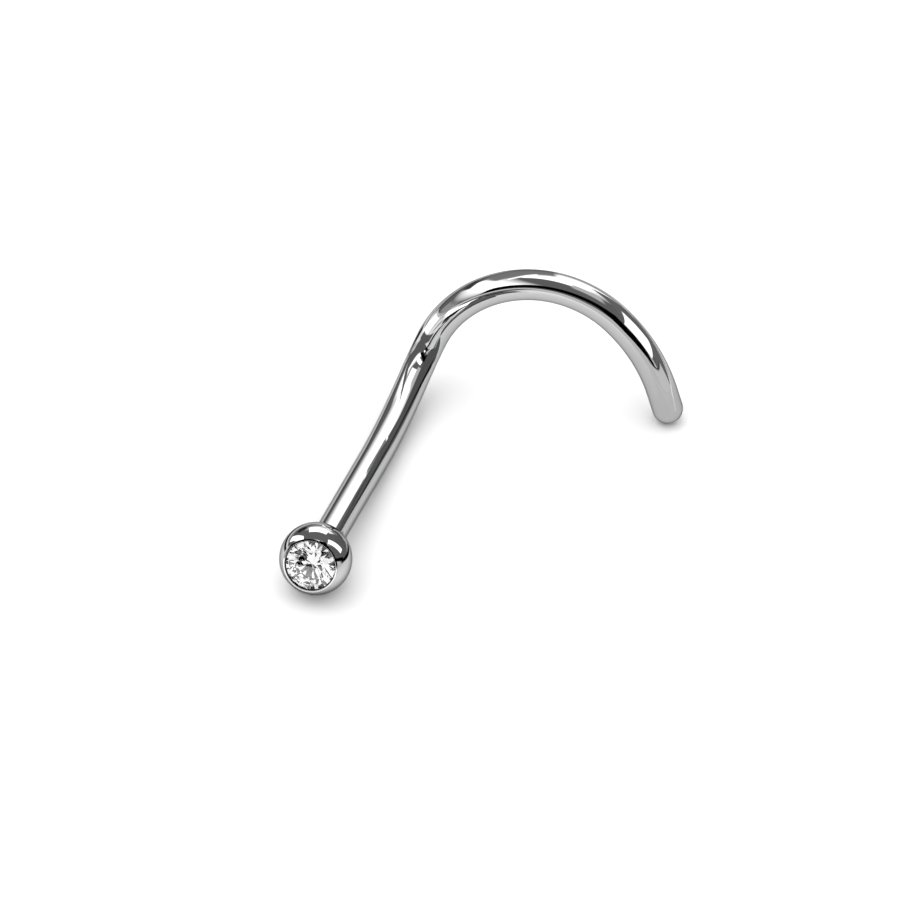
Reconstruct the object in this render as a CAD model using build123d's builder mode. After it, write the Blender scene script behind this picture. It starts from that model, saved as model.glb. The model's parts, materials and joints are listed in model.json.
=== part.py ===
"""Nose stud of the nose-screw kind, lying as it rests on a flat surface.

A length of round steel wire carries a steel ball at its front end, and a brilliant cut stone sits
in a seat turned into the ball. The wire runs straight back as the post, sweeps up, turns through a
tight elbow and ends in an open hook. Units are millimetres, +Z is up, and the surface is Z = 0.
"""

import os
from collections import namedtuple
from math import cos, isclose, radians, sin, sqrt, tan

from build123d import *

# Metal
ball_diameter = 1.85
wire_diameter = 0.80
weld_fillet = 0.06

# Bends in the order the wire takes them. A bend follows a straight run, its roll turns the side
# that the wire bends to around the wire, and its radius is that of the wire's centreline.
Bend = namedtuple("Bend", "name run roll radius angle")
bends = [
    Bend("sweep", run=4.30, roll=0.0, radius=7.0, angle=25.0),
    Bend("elbow", run=0.00, roll=15.0, radius=1.2, angle=54.0),
    Bend("hook", run=0.00, roll=88.5, radius=3.0, angle=109.0),
    Bend("hook_end", run=0.00, roll=0.0, radius=4.5, angle=30.0),
]
tail_run = 0.50

# Seat: its axis leans up from the surface by the elevation and towards the hook by the turn, and
# its rim is a ring that stands at a height from the ball's centre.
seat_elevation = 24.5
seat_turn = 4.5
rim_height = 0.59
rim_rounding = 0.028
stone_sink = 0.05
gap = 0.01

# Stone: a round brilliant, with shares of its girdle diameter and facet angles from its girdle
stone_diameter = 1.27
table_share = 0.57
girdle_share = 0.035
main_angle = 34.0
star_angle = 21.0
upper_girdle_angle = 39.5
pavilion_angle = 41.0
lower_girdle_angle = 42.2
folds = 8

ball_radius = ball_diameter / 2
wire_radius = wire_diameter / 2
stone_radius = stone_diameter / 2
POINTS_PER_BEND = 60


def turned(direction, axis, angle):
    """A direction turned by an angle about another direction, by the right-hand rule."""
    return direction.rotate(Axis((0, 0, 0), axis), angle)


def follow(bends, tail_run):
    """The wire's straight runs, as their ends, and its bends, as points along each one.

    The wire sets out from the ball's centre along +Y and first bends towards +Z.
    """
    point, heading, side = Vector(0, 0, 0), Vector(0, 1, 0), Vector(0, 0, 1)
    runs, arcs = [], []
    for bend in bends:
        if bend.run:
            runs.append((point, point + heading * bend.run))
            point += heading * bend.run
        side = turned(side, heading, bend.roll)
        axis = heading.cross(side)
        centre = point + side * bend.radius
        steps = [bend.angle * step / POINTS_PER_BEND for step in range(POINTS_PER_BEND + 1)]
        arcs.append([centre - turned(side, axis, step) * bend.radius for step in steps])
        point = arcs[-1][-1]
        heading = turned(heading, axis, bend.angle)
        side = turned(side, axis, bend.angle)
    runs.append((point, point + heading * tail_run))
    return runs, arcs


def upright(belly, tip):
    """Direction square to the plane that the ball, the wire at belly and the wire at tip rest on."""
    across = tip.cross(belly)
    lower = wire_radius - ball_radius
    within = (across.cross(tip) + belly.cross(across)) * (lower / across.dot(across))
    return within + across.normalized() * sqrt(1 - within.dot(within))


# The stud rests on three places: the ball, the belly of the sweep, and the tip of the hook. Which
# point of the sweep is lowest depends on how the stud lies, so it is found in a few rounds.
runs, arcs = follow(bends, tail_run)
tip = runs[-1][1]
belly = arcs[0][0]
for _ in range(6):
    up = upright(belly, tip)
    belly = min(arcs[0], key=lambda point: point.dot(up))
lie = Plane(origin=up * -ball_radius, x_dir=Vector(0, 1, 0).cross(up), z_dir=up)
runs = [[lie.to_local_coords(point) for point in run] for run in runs]
arcs = [[lie.to_local_coords(point) for point in arc] for arc in arcs]
ball_centre, post_end = runs[0]
tip = runs[-1][1]
post_direction = (post_end - ball_centre).normalized()
for name, point, radius in (
    ("ball", ball_centre, ball_radius),
    ("belly", lie.to_local_coords(belly), wire_radius),
    ("tip", tip, wire_radius),
):
    print(f"{name} rests at {point.X:.3f}, {point.Y:.3f}, underside at {point.Z - radius:.4f}")

# The seat's plane has its origin at the ball's centre, and its +Z leaves through the stone's table.
outward = turned(turned(Vector(0, -1, 0), Vector(1, 0, 0), -seat_elevation), Vector(0, 0, 1), seat_turn)
seat = Plane(origin=ball_centre, x_dir=outward.cross(Vector(0, 0, 1)), z_dir=outward)
girdle_top = rim_height - stone_sink
girdle_bottom = girdle_top - girdle_share * stone_diameter
table_radius = table_share * stone_radius
table_height = girdle_top + (stone_radius - table_radius) * tan(radians(main_angle))
culet_height = girdle_bottom - stone_radius * tan(radians(pavilion_angle))
bore_radius = stone_radius + gap

# One solid of metal: ball, post, bends and rounded tip, with the seat cut into the ball
with BuildPart() as ball_and_wire:
    with BuildLine():
        Line(*runs[0])
        for arc in arcs:
            ThreePointArc(arc[0], arc[POINTS_PER_BEND // 2], arc[-1])
        Line(*runs[-1])
    with BuildSketch(Plane(origin=ball_centre, z_dir=post_direction)):
        Circle(wire_radius)
    sweep()
    with Locations(tip):
        Sphere(wire_radius)
    with Locations(ball_centre):
        Sphere(ball_radius)

    # The post leaves the ball with the small fillet of a weld.
    rings = ball_and_wire.edges().filter_by(GeomType.CIRCLE)
    wire_rings = rings.filter_by(lambda ring: isclose(ring.radius, wire_radius, abs_tol=gap / 10))
    fillet(wire_rings.sort_by(lambda ring: (ring.arc_center - ball_centre).length)[0], weld_fillet)

    # The ball is cut off at the rim and bored out, with a cone that follows the stone's underside.
    with BuildSketch(Plane(origin=seat.origin, x_dir=seat.x_dir, z_dir=-seat.y_dir)):
        with BuildLine():
            Polyline(
                (0, culet_height - 2 * gap),
                (bore_radius, girdle_bottom - gap),
                (bore_radius, rim_height),
                (ball_diameter, rim_height),
                (ball_diameter, ball_diameter),
                (0, ball_diameter),
                close=True,
            )
        make_face()
    revolve(axis=Axis(seat.origin, seat.z_dir), mode=Mode.SUBTRACT)
    rim_place = seat.from_local_coords(Vector(0, 0, rim_height))
    rim = ball_and_wire.faces().filter_by(GeomType.PLANE).sort_by_distance(rim_place)[0]
    fillet(rim.edges(), rim_rounding)

# A round brilliant, cut out of a disc of the girdle's diameter by the planes of its facets
Facets = namedtuple("Facets", "name angle count turn reach height")
half_fold = 180 / folds
quarter_fold = half_fold / 2
girdle_reach = stone_radius * cos(radians(quarter_fold))
table_reach = table_radius * cos(radians(half_fold))
facet_rings = [
    Facets("main", main_angle, folds, 0, stone_radius, girdle_top),
    Facets("star", star_angle, folds, half_fold, table_reach, table_height),
    Facets("upper girdle", upper_girdle_angle, 2 * folds, quarter_fold, girdle_reach, girdle_top),
    Facets("pavilion", 180 - pavilion_angle, folds, 0, stone_radius, girdle_bottom),
    Facets("lower girdle", 180 - lower_girdle_angle, 2 * folds, quarter_fold, girdle_reach, girdle_bottom),
]
with BuildPart() as stone:
    with BuildSketch(seat.offset(culet_height)):
        Circle(stone_radius)
    extrude(amount=table_height - culet_height)
    for ring in facet_rings:
        for number in range(ring.count):
            turn = radians(ring.turn + number * 360 / ring.count)
            place = Vector(ring.reach * cos(turn), ring.reach * sin(turn), ring.height)
            lean = radians(ring.angle)
            square = Vector(sin(lean) * cos(turn), sin(lean) * sin(turn), cos(lean))
            facet = Plane(seat.from_local_coords(place), z_dir=seat.from_local_coords(square) - seat.origin)
            split(bisect_by=facet, keep=Keep.BOTTOM)

# The finished stud is centred over the origin, still resting on Z = 0.
middle = ball_and_wire.part.bounding_box().center()
centred = Location((-middle.X, -middle.Y, 0))
ball_and_wire.part.label = "ball_and_wire"
stone.part.label = "stone"
os.makedirs("parts", exist_ok=True)
for piece in (ball_and_wire.part, stone.part):
    placed = piece.moved(centred)
    export_step(placed, f"parts/{piece.label}.step")
    box = placed.bounding_box()
    print(f"{piece.label}: {piece.volume:.4f} mm3, from {box.min} to {box.max}")

wire_length = sum((end - start).length for start, end in runs)
wire_length += sum(radians(bend.angle) * bend.radius for bend in bends)
print(f"origin moved by {-middle.X:.4f}, {-middle.Y:.4f}; wire centreline {wire_length:.2f} mm long")
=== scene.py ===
# %% [markdown]
# # A nose screw with a ball set stone
#
# This lesson dresses a finished CAD model of a nose stud. The stud is a length of round
# surgical steel wire with a ball welded to its front end, and a brilliant cut stone sits in the
# ball. The CAD model holds every size and place. Here the two pieces are modelled again with
# meshes fine enough for a mirror polish, in exactly the same place, and lit like a jeweller's
# tabletop.

# %% Load the frame
import json
from collections import namedtuple
from math import cos, degrees, pi, radians, sin, sqrt, tan

import bmesh
import bpy
from mathutils import Matrix, Quaternion, Vector


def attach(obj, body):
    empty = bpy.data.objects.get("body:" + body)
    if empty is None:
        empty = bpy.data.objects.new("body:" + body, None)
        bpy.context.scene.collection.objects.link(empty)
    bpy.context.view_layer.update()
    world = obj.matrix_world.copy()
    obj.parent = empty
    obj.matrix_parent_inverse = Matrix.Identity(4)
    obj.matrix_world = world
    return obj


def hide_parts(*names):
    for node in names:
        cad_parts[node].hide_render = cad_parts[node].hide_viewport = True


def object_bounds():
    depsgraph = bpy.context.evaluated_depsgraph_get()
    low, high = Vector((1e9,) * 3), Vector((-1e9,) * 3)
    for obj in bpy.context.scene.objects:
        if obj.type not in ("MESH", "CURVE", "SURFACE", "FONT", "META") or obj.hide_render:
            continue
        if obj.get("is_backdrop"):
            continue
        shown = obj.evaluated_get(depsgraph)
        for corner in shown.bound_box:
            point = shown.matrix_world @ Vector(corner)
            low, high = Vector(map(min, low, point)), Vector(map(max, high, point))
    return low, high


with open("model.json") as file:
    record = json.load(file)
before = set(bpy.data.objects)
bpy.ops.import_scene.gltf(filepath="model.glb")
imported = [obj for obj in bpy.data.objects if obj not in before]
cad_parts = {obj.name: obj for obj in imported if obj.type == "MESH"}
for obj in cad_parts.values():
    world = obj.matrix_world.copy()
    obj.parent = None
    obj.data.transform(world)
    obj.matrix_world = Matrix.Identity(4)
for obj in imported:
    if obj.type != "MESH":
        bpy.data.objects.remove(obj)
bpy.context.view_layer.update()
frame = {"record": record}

# %% [markdown]
# ## The bench
#
# The stud is only ten millimetres long, and many mesh operators merge points that are closer
# than a tenth of a millimetre. So each piece is modelled on a bench that is a thousand times
# larger, where one unit is one millimetre and the ball's centre is at the origin. When a piece
# is finished it is scaled down and carried to its place in one step.
#
# The post's mount in the record says where the wire leaves the ball, along which line, and how
# thick it is. With the ball's radius, which is the CAD model's, that gives the ball's centre, so
# the bench needs no other measurement of its place.

# %% The ball's centre
MM = 0.001
post = next(mount for mount in frame["record"]["mounts"] if mount["name"] == "post")
wire_radius = post["dims"]["r_mm"]
post_length = post["dims"]["length_mm"]
post_heading = Vector(post["axis"]).normalized()
ball_radius = 0.925
ball_centre = Vector(post["pos_m"]) - post_heading * (ball_radius + post_length / 2) * MM
print("ball centre in mm:", [round(1000 * c, 3) for c in ball_centre])

# %% How near counts as touching, in mm
ON_PLACE = 1e-4
ON_LIP = 1e-3
MERGE_WITHIN = 1e-5
CUT_WITHIN = 1e-6
print("points merge within", MERGE_WITHIN, "mm")

# %% [markdown]
# ## The bench's tools
#
# By hand, each step starts with a click on the right object and a look at what is selected. In a
# script the same care is a few small functions: one puts everything down, one opens a piece for
# editing, one selects by a test of place, and one carries the finished piece to the stud.

# %% Put everything down, and open a piece


def start_clean():
    """Leaves edit mode and deselects all, so that an operator acts only on what is made next."""
    if bpy.context.object and bpy.context.object.mode != "OBJECT":
        bpy.ops.object.mode_set(mode="OBJECT")
    bpy.ops.object.select_all(action="DESELECT")


def edit(piece, mode="VERT"):
    """Opens a piece in edit mode with nothing selected."""
    start_clean()
    bpy.context.view_layer.objects.active = piece
    piece.select_set(True)
    bpy.ops.object.mode_set(mode="EDIT")
    bpy.ops.mesh.select_mode(type=mode)
    bpy.ops.mesh.select_all(action="DESELECT")


# %% Select by place


def select(piece, kind, test):
    """Selects the verts, edges or faces of the open piece that pass a test, and counts them."""
    mesh = bmesh.from_edit_mesh(piece.data)
    bpy.ops.mesh.select_all(action="DESELECT")
    chosen = [part for part in getattr(mesh, kind) if test(part)]
    for part in chosen:
        part.select_set(True)
    mesh.select_flush(True)
    bmesh.update_edit_mesh(piece.data)
    return len(chosen)


def open_edges(piece, near, axis):
    """Selects the boundary ring that lies in the plane through a point, square to an axis."""
    def on_ring(edge):
        return edge.is_boundary and all(abs((v.co - near).dot(axis)) < ON_PLACE for v in edge.verts)
    return select(piece, "edges", on_ring)


# %% Turn a primitive, and carry a piece to its place


def facing(direction):
    """Rotation that turns +Z to a direction, for a primitive's rotation setting."""
    return direction.to_track_quat("Z", "Y").to_euler()


def to_place(piece, name):
    """Carries a finished piece from the bench to the stud, and leaves its object at the origin."""
    start_clean()
    piece.select_set(True)
    bpy.context.view_layer.objects.active = piece
    piece.scale = (MM, MM, MM)
    piece.location = ball_centre
    bpy.ops.object.transform_apply(location=True, rotation=True, scale=True)
    piece.name = piece.data.name = name
    print(name, "has", len(piece.data.polygons), "faces")


# %% [markdown]
# ## The ball
#
# The real ball is a solid bead with a seat turned into its front. A UV sphere has its neatest
# mesh around its own poles, and the ball has two places that want neat rings: the rim of the
# seat, and the ring where the post leaves. So two spheres are made, one with its pole along the
# seat's axis and one with its pole along the post. Each is cut down to the band around its
# ring, the bands are bridged, and the Cast modifier presses the bridge onto the true sphere.

# %% The seat's axis
SeatSizes = namedtuple("SeatSizes", "elevation turn rim_height rounding sink gap")
seat_sizes = SeatSizes(elevation=24.5, turn=4.5, rim_height=0.59, rounding=0.028, sink=0.05, gap=0.01)
seat_rise, seat_turn = radians(seat_sizes.elevation), radians(seat_sizes.turn)
seat_axis = Vector((sin(seat_turn) * cos(seat_rise), -cos(seat_turn) * cos(seat_rise), sin(seat_rise)))
seat_across = seat_axis.cross(Vector((0, 0, 1))).normalized()
seat_up = seat_axis.cross(seat_across)
seat_lean = degrees((-post_heading).angle(seat_axis))
print("angle from the post's line to the seat's axis:", round(seat_lean, 1))

# %% Two spheres, each cut down to one band
RING = 128
SPHERE_RINGS = 96
BACK_START = 0.12
FRONT_START = 0.22
weld_height = sqrt(ball_radius**2 - wire_radius**2)
band_limits = {
    # the lower and upper cuts of each band, as heights along its own axis
    "back": (post_heading, BACK_START * ball_radius, weld_height),
    "front": (seat_axis, FRONT_START * ball_radius, seat_sizes.rim_height),
}
bands = {}
for name, (axis, low, high) in band_limits.items():
    start_clean()
    bpy.ops.mesh.primitive_uv_sphere_add(
        segments=RING, ring_count=SPHERE_RINGS, radius=ball_radius, rotation=facing(axis))
    band = bands[name] = bpy.context.object
    bpy.ops.object.transform_apply(location=False, rotation=True, scale=False)
    edit(band)
    for height, outside in ((low, -1), (high, 1)):
        bpy.ops.mesh.select_all(action="SELECT")
        bpy.ops.mesh.bisect(
            plane_co=axis * height, plane_no=axis * outside, clear_outer=True, threshold=CUT_WITHIN)
        # a cut across flat faces lies just inside the sphere, so it is scaled out to the true ring
        open_edges(band, axis * height, axis)
        cut = [v.co - axis * height for v in bmesh.from_edit_mesh(band.data).verts if v.select]
        to_true_ring = sqrt(ball_radius**2 - height**2) / (sum(c.length for c in cut) / len(cut))
        bpy.ops.transform.resize(value=[to_true_ring] * 3, center_override=axis * height)
    start_clean()
    print(name, "band has", len(band.data.polygons), "faces")

# %% Join the bands and bridge them
BRIDGE_CUTS = 12
start_clean()
for band in bands.values():
    band.select_set(True)
bpy.context.view_layer.objects.active = metal = bands["back"]
bpy.ops.object.join()
edit(metal, "EDGE")


def on_far_rings(edge):
    """True for the boundary edges that face the other band."""
    return edge.is_boundary and any(
        all(abs(v.co.dot(axis) - low) < ON_PLACE for v in edge.verts)
        for axis, low, _ in band_limits.values())


print("ring edges to bridge:", select(metal, "edges", on_far_rings))
bpy.ops.mesh.bridge_edge_loops(number_cuts=BRIDGE_CUTS, interpolation="LINEAR")

# %% Press the bridge onto the sphere
start_clean()
press = metal.modifiers.new("press onto the sphere", "CAST")
press.cast_type = "SPHERE"
press.factor = 1
press.use_radius_as_size = False
press.radius = 0
press.size = ball_radius
bpy.ops.object.modifier_apply(modifier=press.name)
radii = [v.co.length for v in metal.data.vertices]
print("ball radius runs from", round(min(radii), 5), "to", round(max(radii), 5))

# %% [markdown]
# ## The post and the hook
#
# A maker draws the wire straight out of the ball and bends it round pins: a gentle sweep, a
# tight elbow, and the round hook. Here the ball's back ring is extruded along the post, and
# each bend is a spin about its pin's centre, so the wire is one clean tube whose rings all have
# the same number of points. A curve with a bevel would be quicker, but its rings wouldn't be part
# of the ball. The bending schedule is the same as the CAD model's.

# %% The bending schedule
# Each bend follows a straight run. Its roll turns the side that the wire bends to about the wire.
# The first roll is the one that the CAD model works out, with which the tip rests on the surface.
Bend = namedtuple("Bend", "name run roll radius angle steps")
side_lean = 6.3918
bends = [
    Bend("sweep", 4.30, side_lean, 7.0, 25.0, 24),
    Bend("elbow", 0.00, 15.0, 1.2, 54.0, 40),
    Bend("hook", 0.00, 88.5, 3.0, 109.0, 96),
    Bend("hook end", 0.00, 0.0, 4.5, 30.0, 32),
]
tail_run = 0.50

# %% Extrude the straight runs and spin the bends
edit(metal, "EDGE")
print("ring edges at the weld:", open_edges(metal, post_heading * weld_height, post_heading))
point = Vector((0, 0, 0))
heading = post_heading.copy()
side = (Vector((0, 0, 1)) - heading * heading.z).normalized()
done = weld_height
for bend in bends:
    if bend.run:
        bpy.ops.mesh.extrude_edges_move(TRANSFORM_OT_translate={"value": heading * (bend.run - done)})
        point += heading * bend.run
        done = 0
    side.rotate(Quaternion(heading, radians(bend.roll)))
    pin_axis = heading.cross(side)
    pin = point + side * bend.radius
    # the spin operator turns clockwise about its axis, so it gets the axis the other way round
    bpy.ops.mesh.spin(steps=bend.steps, angle=radians(bend.angle), center=pin, axis=-pin_axis)
    by_angle = Quaternion(pin_axis, radians(bend.angle))
    point = pin + by_angle @ (point - pin)
    heading.rotate(by_angle)
    side.rotate(by_angle)
    ring = [v.co for v in bmesh.from_edit_mesh(metal.data).verts if v.select]
    off = (sum(ring, Vector()) / len(ring) - point).length
    print(bend.name, "ends at", [round(c, 3) for c in point], "and its ring is off by", round(off, 5))

# %% Round the tip
TIP_RINGS = 20
bpy.ops.mesh.extrude_edges_move(TRANSFORM_OT_translate={"value": heading * tail_run})
tip = point + heading * tail_run
width, reach = 1.0, 0.0
for number in range(1, TIP_RINGS):
    angle = radians(90 * number / TIP_RINGS)
    step = sin(angle) * wire_radius - reach
    shrink = cos(angle) / width
    bpy.ops.mesh.extrude_edges_move(TRANSFORM_OT_translate={"value": heading * step})
    reach, width = sin(angle) * wire_radius, cos(angle)
    bpy.ops.transform.resize(value=(shrink, shrink, shrink), center_override=tip + heading * reach)
bpy.ops.mesh.extrude_edges_move(TRANSFORM_OT_translate={"value": heading * (wire_radius - reach)})
bpy.ops.mesh.merge(type="CENTER")
print("tip's lowest point is", round(tip.z - wire_radius + ball_radius, 4), "mm over the surface")

# %% [markdown]
# ## The seat
#
# The rim is a narrow polished lip that stands round the stone. The ball's front ring is
# extruded and scaled in to the bore, drawn down its wall, and closed as a cone that follows the
# stone's underside. A boolean cut would give the same hole, but it leaves thin uneven faces round
# the rim, and they show in a mirror polish. Beveling the two edges of the lip gives it the soft
# roll that catches the light, and the same tool gives the weld its small fillet.

# %% Heights of the stone and its seat along the seat's axis
stone_radius = 0.635
GIRDLE_SHARE = 0.035
PAVILION_ANGLE = 41.0
girdle_top = seat_sizes.rim_height - seat_sizes.sink
girdle_bottom = girdle_top - GIRDLE_SHARE * 2 * stone_radius
culet = girdle_bottom - stone_radius * tan(radians(PAVILION_ANGLE))
bore_radius = stone_radius + seat_sizes.gap
rim_radius = sqrt(ball_radius**2 - seat_sizes.rim_height**2)
bore_floor = girdle_bottom - seat_sizes.gap
cone_floor = culet - 2 * seat_sizes.gap
rim_place = seat_axis * seat_sizes.rim_height
print("lip is", round(rim_radius - bore_radius, 3), "mm wide")

# %% Extrude the lip, the bore and the cone
edit(metal, "EDGE")
print("ring edges at the rim:", open_edges(metal, rim_place, seat_axis))
bpy.ops.mesh.extrude_edges_move(TRANSFORM_OT_translate={"value": (0, 0, 0)})
inward = bore_radius / rim_radius
bpy.ops.transform.resize(value=(inward, inward, inward), center_override=rim_place)
bpy.ops.mesh.extrude_edges_move(
    TRANSFORM_OT_translate={"value": seat_axis * (bore_floor - seat_sizes.rim_height)})
bpy.ops.mesh.extrude_edges_move(TRANSFORM_OT_translate={"value": seat_axis * (cone_floor - bore_floor)})
bpy.ops.mesh.merge(type="CENTER")

# %% Roll the lip's edges
ROLL_STEPS = 6
for radius in (rim_radius, bore_radius):
    def on_lip(edge):
        return all(
            abs(v.co.dot(seat_axis) - seat_sizes.rim_height) < ON_PLACE
            and abs((v.co - rim_place).length - radius) < ON_LIP for v in edge.verts)
    print("lip edges:", select(metal, "edges", on_lip))
    bpy.ops.mesh.bevel(offset=seat_sizes.rounding, segments=ROLL_STEPS, affect="EDGES")

# %% Fillet the weld
WELD_FILLET = 0.06


def on_weld(edge):
    """True for the ring of edges where the post meets the ball."""
    return all(abs(v.co.dot(post_heading) - weld_height) < ON_PLACE
               and abs(v.co.length - ball_radius) < ON_PLACE for v in edge.verts)


print("weld edges:", select(metal, "edges", on_weld))
bpy.ops.mesh.bevel(offset=WELD_FILLET, segments=ROLL_STEPS, affect="EDGES")

# %% Close up, check and smooth the metal
CREASE_DEGREES = 35
bpy.ops.mesh.select_all(action="SELECT")
bpy.ops.mesh.remove_doubles(threshold=MERGE_WITHIN)
bpy.ops.mesh.normals_make_consistent(inside=False)
print("open or bad edges left:", select(metal, "edges", lambda edge: not edge.is_manifold))
to_place(metal, "polished_ball_and_wire")
bpy.ops.object.shade_smooth_by_angle(angle=radians(CREASE_DEGREES))
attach(metal, "root")
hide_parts("ball_and_wire")

# %% [markdown]
# ## The stone
#
# A cutter grinds each facet of a round brilliant flat against a wheel, at a set angle from the
# girdle and a set turn about the stone. Bisecting a plain disc by the same planes is the same
# work: each cut clears what is outside and fills the new face. The facets come in five rings,
# and the order doesn't matter, because the stone is what all the planes leave. A stone drawn
# vertex by vertex could have faces that aren't quite flat, and a bent facet blurs its flash.

# %% The rings of facets
# Angles are in degrees from the girdle's plane, past 90 on the underside. Each ring has a count of
# facets, the turn of its first one, and a point that the first one passes through, as its reach
# from the stone's axis and its height along it.
FacetRing = namedtuple("FacetRing", "name angle count turn reach height")
FOLDS = 8
TABLE_SHARE = 0.57
MAIN_ANGLE = 34.0
half_fold = radians(180 / FOLDS)
quarter_fold = half_fold / 2
table_radius = TABLE_SHARE * stone_radius
table_height = girdle_top + (stone_radius - table_radius) * tan(radians(MAIN_ANGLE))
girdle_reach = stone_radius * cos(quarter_fold)
facet_rings = [
    FacetRing("main", MAIN_ANGLE, FOLDS, 0, stone_radius, girdle_top),
    FacetRing("star", 21.0, FOLDS, half_fold, table_radius * cos(half_fold), table_height),
    FacetRing("upper girdle", 39.5, 2 * FOLDS, quarter_fold, girdle_reach, girdle_top),
    FacetRing("pavilion", 180 - PAVILION_ANGLE, FOLDS, 0, stone_radius, girdle_bottom),
    FacetRing("lower girdle", 180 - 42.2, 2 * FOLDS, quarter_fold, girdle_reach, girdle_bottom),
]
print("facets to cut:", sum(ring.count for ring in facet_rings))

# %% Cut the stone
start_clean()
bpy.ops.mesh.primitive_cylinder_add(
    vertices=RING, radius=stone_radius, depth=table_height - culet,
    location=seat_axis * (table_height + culet) / 2, rotation=facing(seat_axis))
stone = bpy.context.object
bpy.ops.object.transform_apply(location=True, rotation=True, scale=False)
edit(stone, "FACE")
for ring in facet_rings:
    for number in range(ring.count):
        facet_turn = ring.turn + number * 2 * pi / ring.count
        outward = seat_across * cos(facet_turn) + seat_up * sin(facet_turn)
        lean = radians(ring.angle)
        bpy.ops.mesh.select_all(action="SELECT")
        bpy.ops.mesh.bisect(
            plane_co=outward * ring.reach + seat_axis * ring.height,
            plane_no=outward * sin(lean) + seat_axis * cos(lean),
            clear_outer=True, use_fill=True, threshold=CUT_WITHIN)
print("faces after the cuts:", len(bmesh.from_edit_mesh(stone.data).faces))

# %% Check the stone and carry it to its seat
bpy.ops.mesh.select_all(action="SELECT")
bpy.ops.mesh.remove_doubles(threshold=MERGE_WITHIN)
bpy.ops.mesh.normals_make_consistent(inside=False)
print("open or bad edges left:", select(stone, "edges", lambda edge: not edge.is_manifold))
to_place(stone, "brilliant_stone")
bpy.ops.object.shade_flat()
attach(stone, "root")
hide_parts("stone")

# %% [markdown]
# ## Mirror polished steel
#
# Surgical steel is tumbled and buffed until it mirrors its surroundings. It is a bare metal
# surface with a grey tint, and the buffing leaves a faint haze that only shows as a slight change
# in how sharp a reflection is. A very fine noise on the roughness gives that haze. The bands of
# light on the wire aren't painted: they are true reflections, so they move as the stud turns.

# %% Start a material


def new_material(name):
    """A node material, with its shader and a Mapping node on Object coordinates."""
    material = bpy.data.materials.new(name)
    material.use_nodes = True
    nodes, links = material.node_tree.nodes, material.node_tree.links
    shader = nodes["Principled BSDF"]
    place = nodes.new("ShaderNodeTexCoord")
    mapping = nodes.new("ShaderNodeMapping")
    links.new(place.outputs["Object"], mapping.inputs["Vector"])
    return material, nodes, links, shader, mapping


# %% Vary a roughness


def uneven_polish(nodes, links, shader, mapping, scale, low, high, detail=2):
    """Varies the roughness from low to high with a fine noise, and returns the noise."""
    noise = nodes.new("ShaderNodeTexNoise")
    noise.inputs["Scale"].default_value = scale
    noise.inputs["Detail"].default_value = detail
    links.new(mapping.outputs["Vector"], noise.inputs["Vector"])
    span = nodes.new("ShaderNodeMapRange")
    span.inputs["To Min"].default_value = low
    span.inputs["To Max"].default_value = high
    links.new(noise.outputs["Fac"], span.inputs["Value"])
    links.new(span.outputs["Result"], shader.inputs["Roughness"])
    return noise


# %% The steel's nodes
steel, nodes, links, shader, mapping = new_material("mirror_steel")
shader.inputs["Metallic"].default_value = 1.0
shader.inputs["Specular Tint"].default_value = (0.3, 0.3, 0.3, 1)
haze = uneven_polish(nodes, links, shader, mapping, scale=900, low=0.025, high=0.06, detail=4)
tint = nodes.new("ShaderNodeValToRGB")
tint.color_ramp.elements[0].color = (0.54, 0.54, 0.545, 1)
tint.color_ramp.elements[1].color = (0.61, 0.61, 0.615, 1)
links.new(haze.outputs["Fac"], tint.inputs["Fac"])
links.new(tint.outputs["Color"], shader.inputs["Base Color"])
metal.data.materials.clear()
metal.data.materials.append(steel)
print(steel.name, "has", len(nodes), "nodes")

# %% [markdown]
# ## The painted shade in the seat
#
# The cutter leaves the seat under the stone unpolished, and little light reaches it. Its faces and the
# inner part of the lip's roll get a near black colour, which is painted shade and draws a dark ring round
# the stone. The seat is part of the same solid as the ball, so it isn't a piece of its own: its faces are
# picked by their place and given a second material.

# %% The seat's nodes and faces
# The near black base colour is painted shade for the recess; the rough finish is the seat's own.
DARK_ROLL = 0.018
seat, nodes, links, shader, mapping = new_material("unpolished_seat")
shader.inputs["Metallic"].default_value = 1.0
shader.inputs["Base Color"].default_value = (0.06, 0.06, 0.06, 1)
uneven_polish(nodes, links, shader, mapping, scale=6000, low=0.3, high=0.6)
metal.data.materials.append(seat)
# The bore, the cone under the stone and the inner part of the lip's roll get the painted shade.
for face in metal.data.polygons:
    from_ball = (face.center - ball_centre) / MM
    height = from_ball.dot(seat_axis)
    if height > 0 and (from_ball - seat_axis * height).length < bore_radius + DARK_ROLL:
        face.material_index = 1
print("faces of the seat:", sum(face.material_index for face in metal.data.polygons))

# %% [markdown]
# ## The clear stone
#
# Cubic zirconia bends light far more than glass, which is what makes the facets flash black and
# white. The flashes could be drawn on the faces, but then they would stay put as the stud turns,
# so the stone is given its real refraction. The faintest haze from polishing breaks up the
# reflections on each facet.

# %% The stone's nodes
clear, nodes, links, shader, mapping = new_material("clear_zirconia")
shader.inputs["Base Color"].default_value = (1, 1, 1, 1)
shader.inputs["Transmission Weight"].default_value = 1.0
shader.inputs["IOR"].default_value = 2.16
uneven_polish(nodes, links, shader, mapping, scale=4000, low=0.0, high=0.002)
stone.data.materials.clear()
stone.data.materials.append(clear)
print(clear.name, "bends light by", round(shader.inputs["IOR"].default_value, 2))

# %% [markdown]
# ## The tabletop
#
# The stud lies on a wide pale floor under a white sky that is a little brighter on one side,
# which gives it a soft shadow where it touches. A plain plane does for the floor, because it is
# matt and shows no edge: it reaches far past what the camera sees.

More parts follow.
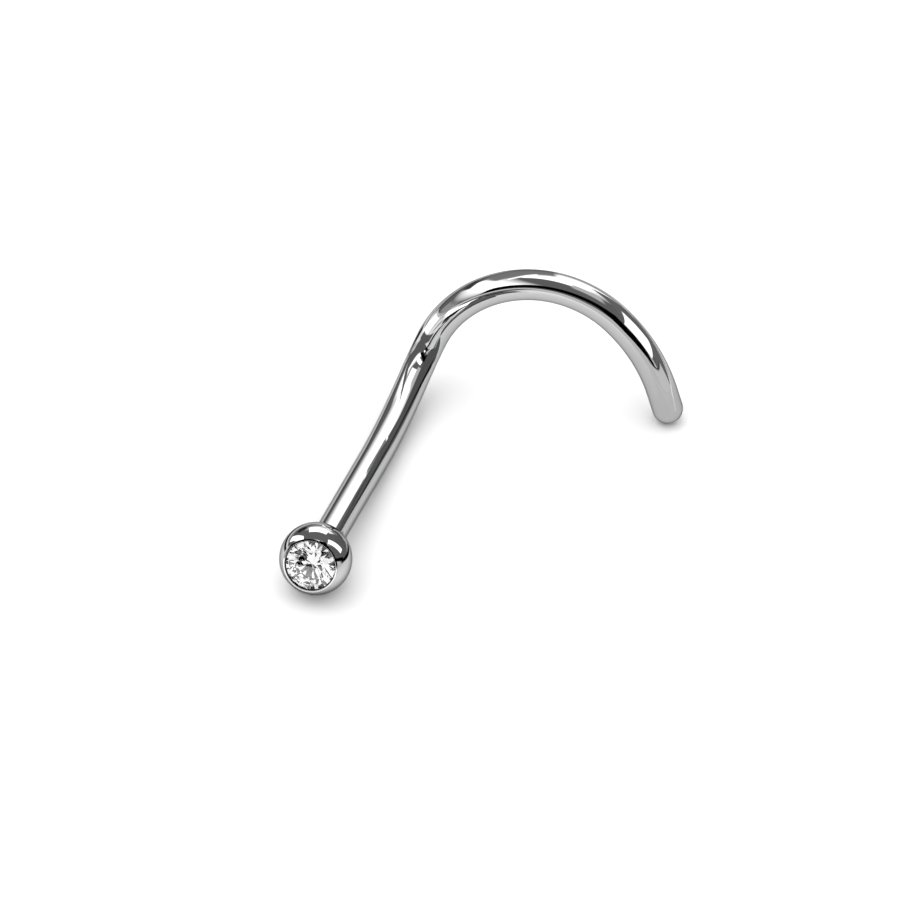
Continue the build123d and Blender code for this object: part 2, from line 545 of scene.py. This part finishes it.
# %% The floor
FLOOR_METRES = 6
start_clean()
bpy.ops.mesh.primitive_plane_add(size=FLOOR_METRES)
floor = bpy.context.object
floor.name = "floor"
floor_material, nodes, links, shader, mapping = new_material("pale_floor")
shader.inputs["Base Color"].default_value = (0.93, 0.93, 0.93, 1)
shader.inputs["Roughness"].default_value = 1.0
shader.inputs["Specular IOR Level"].default_value = 0.0
floor.data.materials.append(floor_material)
floor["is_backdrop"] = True
print("floor is", FLOOR_METRES, "m wide")

# %% [markdown]
# ## The camera
#
# Something this small is best seen through a long lens from far away for its size, so that a
# round ball and a round stone stay round. The lens follows from how far off the camera stands and
# how wide a view it takes in. The camera looks down at the stud from the ball's end, a little to
# one side, and aims near its middle. The directions right, ahead and up are kept, because the
# panels are placed by them.

# %% Place the camera
CAMERA_TURN = 19.1
CAMERA_RISE = 43.6
CAMERA_DISTANCE = 0.200
VIEW_WIDTH = 0.0230
AIM_RIGHT, AIM_ABOVE = -0.866, 1.248
turn, rise = radians(CAMERA_TURN), radians(CAMERA_RISE)
right = Vector((cos(turn), sin(turn), 0))
ahead = Vector((-sin(turn), cos(turn), 0))
up = Vector((0, 0, 1))
back = up * sin(rise) - ahead * cos(rise)
above = back.cross(right)
aim = right * AIM_RIGHT * MM + above * AIM_ABOVE * MM
lens = bpy.data.cameras.new("camera")
lens.lens = lens.sensor_width * CAMERA_DISTANCE / VIEW_WIDTH
lens.clip_start, lens.clip_end = 0.01, 1.0
camera = bpy.data.objects.new("camera", lens)
bpy.context.scene.collection.objects.link(camera)
camera.location = aim + back * CAMERA_DISTANCE
camera.rotation_euler = back.to_track_quat("Z", "Y").to_euler()
bpy.context.scene.camera = camera
print("lens in mm:", round(lens.lens))

# %% [markdown]
# ## The panels and cards
#
# A mirror shows only its surroundings, so those are built with as much care as the stud. On a
# real table, white panels and black cards stand round a polished piece: each panel draws a white
# band along the wire, and each card a dark line beside it. Some stand round the whole stud. Small
# ones stand close to the ball and beside the bends of the wire, where they show in one part alone,
# and a grey card lies just clear of the floor and shows in the underside of the hook. The panels
# here show only in reflections, so they light neither the floor nor the inside of the stone. Area
# lights could draw the white bands, but a glowing plane can also be grey or black, fade out at its
# edge, or have a black rim, so every panel and card is one.

# %% The spots that the panels face
# Each spot is the stud's middle, the ball's centre, or a place in mm rightwards, ahead and up.
stud, ball = Vector(), ball_centre
sweep_side, elbow, elbow_top, saddle, hook_start, hook_top, hook_side, over_floor = [
    (right * across + ahead * forward + up * height) * MM for across, forward, height in (
        (-2.0, 1.6, 1.05), (-1.4, 4.3, 1.6), (-1.52, 4.66, 2.15), (-1.6, 4.0, 1.45),
        (-0.36, 4.32, 3.12), (0.9, 4.3, 3.5), (4.3, 3.1, 1.8), (12, -8.5, 13.004))]
print("the elbow's spot is", round((elbow - ball).length / MM, 2), "mm from the ball")

# %% The panels and cards
# Angles are in degrees, seen from the spot: azimuth clockwise from the way the camera looks,
# elevation of the middle, twist in the panel's own plane. Distance is in millimetres. A panel with
# a border has a black cloth rim that wide, and one without fades out over its soft edge.
Panel = namedtuple(
    "Panel", "name azimuth elevation width height twist distance radiance soft border spot")
panels = [
    Panel("glow_behind", 20, 44, 60, 60, 0, 400, 2.0, 30, 0, stud),
    Panel("box_behind", 24, 49, 36, 34, 0, 220, 2.4, 2.5, 0, stud),
    Panel("box_overhead", 20, 68, 44, 40, 0, 180, 2.4, 4, 0, stud),
    Panel("low_front", 178, 6, 93, 22, -8, 78, 0.8, 1, 0, stud),
    Panel("low_left", -130, 0, 140, 36, 0, 284, 1.0, 1, 1.5, stud),
    Panel("low_right", 118, 4, 84, 19, 0, 60, 0.85, 1, 1, stud),
    Panel("black_front", -175, 34, 66, 20, -4, 153, 0.0, 1, 0, stud),
    Panel("black_right", 156, 21, 34, 17, 0, 70, 0.0, 1, 0, stud),
    Panel("box_left", -94, 47, 88, 30, 0, 150, 2.2, 16, 0, stud),
    Panel("glow_overhead", 100, 66, 26, 22, 0, 178, 0.75, 4, 0, stud),
    Panel("glow_left", -100, 20, 40, 10, 0, 140, 0.45, 5, 0, stud),
    Panel("card_right", 75, 14, 66, 60, 0, 60, 0.2, 0.8, 0, stud),
    Panel("edge_left", -37, -5.5, 50, 17, 0, 20, 0.0, 4, 0, stud),
    Panel("edge_right", 56, -3, 40, 12, -7, 20, 0.0, 0.8, 0, stud),
    Panel("sweep_card", 90, 17, 128, 50, 0, 1.1, 0.13, 2, 0, sweep_side),
    Panel("sweep_line", 90, 22, 90, 4, 0, 1.08, 0.22, 3, 0, sweep_side),
    Panel("sweep_edge", 90, -4, 128, 10, 0, 1.05, 0.0, 4, 0, sweep_side),
    Panel("elbow_box", -165, 40, 40, 14, 0, 2.0, 2.4, 1, 0, elbow),
    Panel("elbow_glow", -108, 3, 56, 38, 0, 1.4, 2.2, 3, 0, elbow_top),
    Panel("elbow_edge", -54, -12, 24, 26, 0, 1.6, 0.05, 5, 0, elbow),
    Panel("elbow_card", -114, 19, 84, 22, 0, 0.9, 0.16, 4, 0, saddle),
    Panel("hook_card", -4, 36, 120, 64, 0, 0.62, 0.3, 20, 0, hook_top),
    Panel("hook_line", -12, 71, 80, 9, 0, 0.6, 2.2, 6, 0, hook_top),
    Panel("hook_edge", -30, 26, 44, 26, 0, 0.8, 0.07, 6, 0, hook_start),
    Panel("hook_box", 104, 36, 60, 30, 0, 6, 2.2, 1, 1, hook_side),
    Panel("hook_horizon", 155, -2, 90, 6, 0, 24, 0.8, 1, 0, hook_side),
    Panel("hook_floor", 0, -90, 86, 100, 0, 13, 0.78, 30, 0, over_floor),
    Panel("ball_shade", 5, 62, 84, 44, 0, 3.6, 0.18, 6, 0, ball),
    Panel("ball_box_behind", 8, 43.5, 38, 22, 0, 3.2, 2.4, 1, 0, ball),
    Panel("ball_card_right", 78, 24, 60, 50, 0, 2.4, 0.17, 6, 0, ball),
    Panel("ball_box_right", 86, 40, 13, 40, 8, 2.2, 2.4, 1, 0, ball),
    Panel("ball_box_left", -54, 35, 14, 44, 5, 4.0, 2.4, 1, 0, ball),
    Panel("ball_card_front", -172.5, 48, 96, 80, -22, 2.0, 0.0, 1, 0, ball),
    Panel("ball_edge_right", 76, -3, 56, 8, 14, 2.3, 0.0, 2, 0, ball),
    Panel("ball_edge_low_right", 108, 14, 26, 8, 34, 2.3, 0.0, 2, 0, ball),
    Panel("ball_edge_left", -42, -6, 56, 9, -10, 4, 0.0, 2, 0, ball),
    Panel("ball_low_box", -158, 4, 70, 16, 0, 1.9, 1.8, 1, 0, ball),
    Panel("ball_card_left", -28, 26, 18, 12, 0, 3, 0.02, 4, 0, ball),
]
print(len(panels), "panels and cards,", sum(panel.radiance > 1 for panel in panels), "of them bright")

# %% A panel's soft edge


def panel_mask(nodes, links, core, soft):
    """One over the core, and down to nought over the soft edge, both as shares of the plane."""
    place = nodes.new("ShaderNodeTexCoord")
    split = nodes.new("ShaderNodeSeparateXYZ")
    links.new(place.outputs["Object"], split.inputs["Vector"])
    mask = nodes.new("ShaderNodeMath")
    mask.operation = "MULTIPLY"
    for number, (axis, share, edge) in enumerate(zip("XY", core, soft)):
        outwards = nodes.new("ShaderNodeMath")
        outwards.operation = "ABSOLUTE"
        links.new(split.outputs[axis], outwards.inputs[0])
        fade = nodes.new("ShaderNodeMapRange")
        fade.inputs["From Min"].default_value = (share + edge) / 2
        fade.inputs["From Max"].default_value = (share - edge) / 2
        links.new(outwards.outputs["Value"], fade.inputs["Value"])
        links.new(fade.outputs["Result"], mask.inputs[number])
    return mask.outputs["Value"]


# %% A panel's glow


def panel_material(panel, core, soft):
    """Glows over the core, and outside it is black cloth or nothing at all."""
    material = bpy.data.materials.new(panel.name)
    material.use_nodes = True
    nodes, links = material.node_tree.nodes, material.node_tree.links
    nodes.clear()
    glow = nodes.new("ShaderNodeEmission")
    glow.inputs["Strength"].default_value = panel.radiance
    if panel.border:
        around = nodes.new("ShaderNodeEmission")
        around.inputs["Strength"].default_value = 0
    else:
        around = nodes.new("ShaderNodeBsdfTransparent")
    mix = nodes.new("ShaderNodeMixShader")
    links.new(panel_mask(nodes, links, core, soft), mix.inputs["Fac"])
    links.new(around.outputs[0], mix.inputs[1])
    links.new(glow.outputs["Emission"], mix.inputs[2])
    output = nodes.new("ShaderNodeOutputMaterial")
    links.new(mix.outputs["Shader"], output.inputs["Surface"])
    return material


# %% Stand the panels up


def direction_to(azimuth, elevation):
    """The direction at an azimuth and elevation in degrees."""
    azimuth, elevation = radians(azimuth), radians(elevation)
    level = right * sin(azimuth) + ahead * cos(azimuth)
    return level * cos(elevation) + up * sin(elevation)


for panel in panels:
    azimuth, twist = radians(panel.azimuth), radians(panel.twist)
    towards = direction_to(panel.azimuth, panel.elevation)
    sideways = right * cos(azimuth) - ahead * sin(azimuth)
    upwards = sideways.cross(towards)
    across = sideways * cos(twist) + upwards * sin(twist)
    along = upwards * cos(twist) - sideways * sin(twist)
    reach = panel.distance * MM
    extra = 2 * reach * radians(panel.border or panel.soft)
    core = [2 * reach * tan(radians(side / 2)) for side in (panel.width, panel.height)]
    size = [side + extra for side in core]
    start_clean()
    bpy.ops.mesh.primitive_plane_add(size=1)
    plane = bpy.context.object
    plane.name = panel.name
    plane.matrix_world = Matrix.Translation(panel.spot + towards * reach) @ Matrix(
        (across * size[0], along * size[1], -towards)).transposed().to_4x4()
    edge = reach * radians(panel.soft)
    plane.data.materials.append(panel_material(
        panel, [c / z for c, z in zip(core, size)], [edge / z for z in size]))
    for ray in ("camera", "diffuse", "transmission", "shadow"):
        setattr(plane, "visible_" + ray, False)
    plane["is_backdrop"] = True
print("panels stand from", min(p.distance for p in panels), "to", max(p.distance for p in panels), "mm off")

# %% [markdown]
# ## The room
#
# Each kind of ray finds a room of its own. The camera sees a pale room past the floor. The floor
# is lit by a white sky that brightens towards a window. The metal mirrors the dark room that the
# panels stand in. Light inside the stone goes out to a white room with round dark patches, and
# the facets throw those patches back as black flashes. One room for all of them would either
# darken the floor or wash out the metal, so a Light Path node tells the rays apart.

# %% Start the room
world = bpy.data.worlds.new("room")
bpy.context.scene.world = world
world.use_nodes = True
nodes, links = world.node_tree.nodes, world.node_tree.links
nodes.clear()
direction = nodes.new("ShaderNodeTexCoord")
split = nodes.new("ShaderNodeSeparateXYZ")
links.new(direction.outputs["Generated"], split.inputs["Vector"])
backgrounds = {}
for name in ("room", "pale", "sky", "bright"):
    backgrounds[name] = nodes.new("ShaderNodeBackground")
    backgrounds[name].inputs["Color"].default_value = (1, 1, 1, 1)


def lined_up(where):
    """How nearly a ray goes in a direction: one straight along it, and nought square to it."""
    dot = nodes.new("ShaderNodeVectorMath")
    dot.operation = "DOT_PRODUCT"
    dot.inputs[1].default_value = where
    links.new(direction.outputs["Generated"], dot.inputs[0])
    return dot.outputs["Value"]


print("rooms:", ", ".join(backgrounds))

# %% The dark room that the metal mirrors
# Its grey follows the height of the ray, and it is darkest at the horizon.
dusk = nodes.new("ShaderNodeValToRGB")
ramp = dusk.color_ramp
ramp.elements[0].position, ramp.elements[0].color = 0.0, (0.10, 0.10, 0.10, 1)
ramp.elements[1].position, ramp.elements[1].color = 1.0, (0.18, 0.18, 0.18, 1)
for position, grey in ((0.10, 0.16), (0.26, 0.18), (0.5, 0.18)):
    ramp.elements.new(position).color = (grey, grey, grey, 1)
links.new(split.outputs["Z"], dusk.inputs["Fac"])
links.new(dusk.outputs["Color"], backgrounds["room"].inputs["Color"])
print("greys in the dark room:", len(ramp.elements))

# %% The stone's white room and its dark patches
# Each patch has an azimuth, an elevation and a radius in degrees. One is where the camera stands,
# one is high up, and six stand round.
STONE_ROOM = 1.2
PATCH_EDGE = 2
dark_patches = [(180, 43.6, 18), (0, 75, 14)] + [(around, 30, 14) for around in range(-150, 180, 60)]
light = None
for azimuth, elevation, radius in dark_patches:
    outside = nodes.new("ShaderNodeMapRange")
    outside.inputs["From Min"].default_value = cos(radians(radius + PATCH_EDGE))
    outside.inputs["From Max"].default_value = cos(radians(radius - PATCH_EDGE))
    outside.inputs["To Min"].default_value, outside.inputs["To Max"].default_value = 1, 0
    links.new(lined_up(direction_to(azimuth, elevation)), outside.inputs["Value"])
    both = nodes.new("ShaderNodeMath")
    both.operation = "MULTIPLY"
    links.new(outside.outputs["Result"], both.inputs[0])
    if light:
        links.new(light, both.inputs[1])
    else:
        both.inputs[1].default_value = STONE_ROOM
    light = both.outputs["Value"]
links.new(light, backgrounds["bright"].inputs["Strength"])
print("dark patches:", len(dark_patches))

# %% The sky that lights the floor
# Its strength is a steady part, and a part that falls off round the window by a power.
SKY_ALL_ROUND = 1.26
SKY_WINDOW = 0.9
WINDOW_FALLOFF = 6
WINDOW_AZIMUTH, WINDOW_ELEVATION = -50, 62
last = lined_up(direction_to(WINDOW_AZIMUTH, WINDOW_ELEVATION))
for operation, value, addend in (
        ("MAXIMUM", 0, 0), ("POWER", WINDOW_FALLOFF, 0), ("MULTIPLY_ADD", SKY_WINDOW, SKY_ALL_ROUND)):
    step = nodes.new("ShaderNodeMath")
    step.operation = operation
    links.new(last, step.inputs[0])
    step.inputs[1].default_value, step.inputs[2].default_value = value, addend
    last = step.outputs["Value"]
links.new(last, backgrounds["sky"].inputs["Strength"])
print("the sky is", SKY_ALL_ROUND, "all round and", SKY_ALL_ROUND + SKY_WINDOW, "at the window")

# %% Tell the rays apart
path = nodes.new("ShaderNodeLightPath")
seen = backgrounds["room"].outputs["Background"]
for ray, name in (("Is Transmission Ray", "bright"), ("Is Diffuse Ray", "sky"), ("Is Camera Ray", "pale")):
    mix = nodes.new("ShaderNodeMixShader")
    links.new(path.outputs[ray], mix.inputs["Fac"])
    links.new(seen, mix.inputs[1])
    links.new(backgrounds[name].outputs["Background"], mix.inputs[2])
    seen = mix.outputs["Shader"]
output = nodes.new("ShaderNodeOutputWorld")
links.new(seen, output.inputs["Surface"])
print("the room has", len(nodes), "nodes")

# %% [markdown]
# ## Tone and light paths
#
# Polished metal needs its full range from black to white, so the picture is shown with the plain
# Standard tone curve. Light bounces many times inside a brilliant before it comes out, so the
# bounces are raised. Caustics are left out, because they would only add bright specks to the
# floor.

# %% Set the tone and the bounces
scene = bpy.context.scene
scene.view_settings.view_transform = "Standard"
scene.cycles.max_bounces = 24
scene.cycles.glossy_bounces = 16
scene.cycles.transmission_bounces = 20
scene.cycles.caustics_reflective = False
scene.cycles.caustics_refractive = False
print("bounces in the stone:", scene.cycles.transmission_bounces)

# %% [markdown]
# ## Finish
#
# The last cell measures the box round the visual model.

# %% The visual model's box
low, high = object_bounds()
